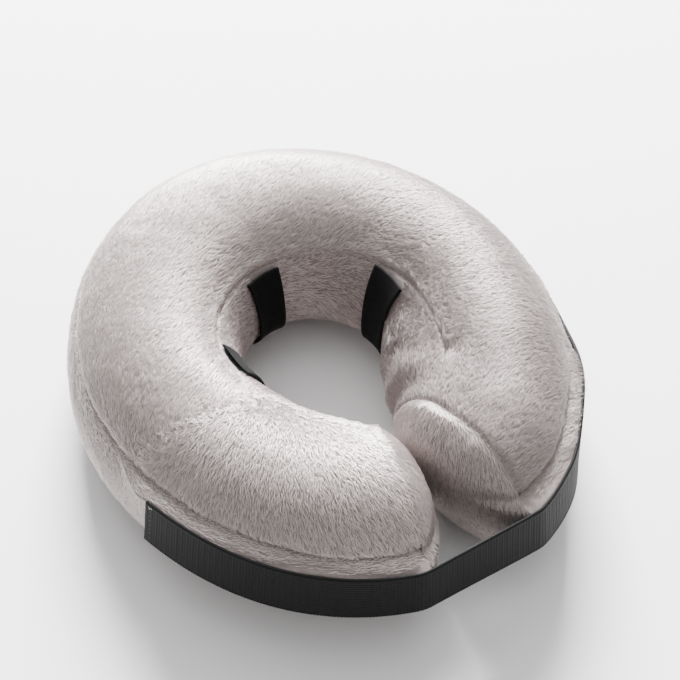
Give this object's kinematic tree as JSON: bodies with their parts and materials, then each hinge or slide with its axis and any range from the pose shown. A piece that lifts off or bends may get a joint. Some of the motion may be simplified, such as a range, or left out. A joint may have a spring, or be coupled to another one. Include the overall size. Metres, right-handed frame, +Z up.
{
  "type": "inflatable recovery collar",
  "caption": "C-shaped inflatable plush ring worn round a pet's neck, with black neck loops, a hook-and-loop closing strap, a zip and an air valve.",
  "frame": {"origin": "middle of the bounding box of the whole collar, on the flat underside it rests on", "axes": "+Z up through the neck opening, -Y out of the gap between the arms, +X to the arm that carries the strap"},
  "size_m": [0.2807, 0.3216, 0.089],
  "materials": {
    "plush": "short-pile plush with a satin nap, warm light grey",
    "plush_band": "short-pile plush, warm grey, slightly pinker in shade",
    "plush_end": "short-pile plush, warm light grey",
    "bladder_film": "translucent welded vinyl film",
    "loop_webbing": "soft black woven elastic",
    "strap_webbing": "black woven tape with fine cross ribs",
    "hook_tape": "black hook tape",
    "loop_tape": "black loop pile tape",
    "valve_plastic": "soft translucent vinyl",
    "zip_tape": "grey woven polyester tape",
    "zip_coil": "grey nylon coil",
    "zip_metal": "nickel-plated zinc"
  },
  "bodies": {
    "left_half": {"cover_top_left": "plush", "cover_bottom_left": "plush", "outer_gusset_left": "plush", "inner_band_left": "plush_band", "end_panel_left": "plush_end", "bladder_left": "bladder_film", "neck_loop_left": "loop_webbing", "neck_loop_back": "loop_webbing", "loop_patch": "loop_tape", "valve_flange": "valve_plastic"},
    "right_half": {"cover_top_right": "plush", "cover_bottom_right": "plush", "outer_gusset_right": "plush", "inner_band_right": "plush_band", "end_panel_right": "plush_end", "bladder_right": "bladder_film", "neck_loop_right": "loop_webbing", "strap_root": "strap_webbing", "zip_tape_upper": "zip_tape", "zip_tape_lower": "zip_tape", "zip_coil_upper": "zip_coil", "zip_coil_lower": "zip_coil", "zip_stop_closed": "zip_metal", "zip_stop_open": "zip_metal"},
    "strap_bend": {"strap_bend": "strap_webbing"},
    "strap_bridge": {"strap_bridge": "strap_webbing"},
    "strap_wrap_1": {"strap_wrap_1": "strap_webbing", "hook_tape_wrap_1": "hook_tape"},
    "strap_wrap_2": {"strap_wrap_2": "strap_webbing", "hook_tape_wrap_2": "hook_tape"},
    "strap_tail": {"strap_tail": "strap_webbing", "hook_tape_tail": "hook_tape"},
    "valve_stem": {"valve_stem": "valve_plastic"},
    "valve_plug": {"valve_plug": "valve_plastic"},
    "valve_flap": {"valve_check_flap": "valve_plastic"},
    "zip_slider": {"zip_slider": "zip_metal"},
    "zip_pull": {"zip_pull": "zip_metal"}
  },
  "joints": [
    {"name": "collar_spread", "type": "hinge", "parent": "left_half", "child": "right_half", "pos_m": [0.0007, 0.16142, 0.0445], "axis": [0, 0, 1], "range_deg": [0, 20]},
    {"name": "strap_peel_1", "type": "hinge", "parent": "right_half", "child": "strap_bend", "pos_m": [0.08898, -0.13028, 0.0472], "axis": [0, 0, 1], "range_deg": [0, 16]},
    {"name": "strap_peel_2", "type": "hinge", "parent": "strap_bend", "child": "strap_bridge", "pos_m": [0.03806, -0.16075, 0.0472], "axis": [0, 0, 1], "range_deg": [0, 24]},
    {"name": "strap_peel_3", "type": "hinge", "parent": "strap_bridge", "child": "strap_wrap_1", "pos_m": [-0.03666, -0.16075, 0.0472], "axis": [0, 0, 1], "range_deg": [0, 24]},
    {"name": "strap_peel_4", "type": "hinge", "parent": "strap_wrap_1", "child": "strap_wrap_2", "pos_m": [-0.08553, -0.13215, 0.0472], "axis": [0, 0, 1], "range_deg": [0, 24]},
    {"name": "strap_peel_5", "type": "hinge", "parent": "strap_wrap_2", "child": "strap_tail", "pos_m": [-0.1177, -0.09246, 0.0472], "axis": [0, 0, 1], "range_deg": [0, 24]},
    {"name": "valve_push", "type": "slide", "parent": "left_half", "child": "valve_stem", "axis": [-0.4376, 0.8992, 0], "range_m": [0, 0.008]},
    {"name": "valve_plug_open", "type": "hinge", "parent": "valve_stem", "child": "valve_plug", "pos_m": [-0.05404, 0.14928, 0.0286], "axis": [-0.8992, -0.4376, 0], "range_deg": [0, 150]},
    {"name": "valve_flap_open", "type": "hinge", "parent": "valve_stem", "child": "valve_flap", "pos_m": [-0.04796, 0.13678, 0.0402], "axis": [-0.8992, -0.4376, 0], "range_deg": [0, 60]},
    {"name": "zip_travel", "type": "hinge", "parent": "right_half", "child": "zip_slider", "pos_m": [-0.01815, 0.0089, 0.02074], "axis": [0, 0, 1], "range_deg": [0, 41]},
    {"name": "zip_pull_lift", "type": "hinge", "parent": "zip_slider", "child": "zip_pull", "pos_m": [0.13368, 0.06206, 0.0181], "axis": [-0.3926, -0.1375, -0.9094], "range_deg": [0, 170]}
  ],
  "couplings": [
    {"joint": "strap_peel_1", "follows": "collar_spread", "ratio": 0.8},
    {"joint": "strap_peel_2", "follows": "collar_spread", "ratio": 1.2},
    {"joint": "strap_peel_3", "follows": "collar_spread", "ratio": 1.2},
    {"joint": "strap_peel_4", "follows": "collar_spread", "ratio": 1.2},
    {"joint": "strap_peel_5", "follows": "collar_spread", "ratio": 1.2}
  ]
}
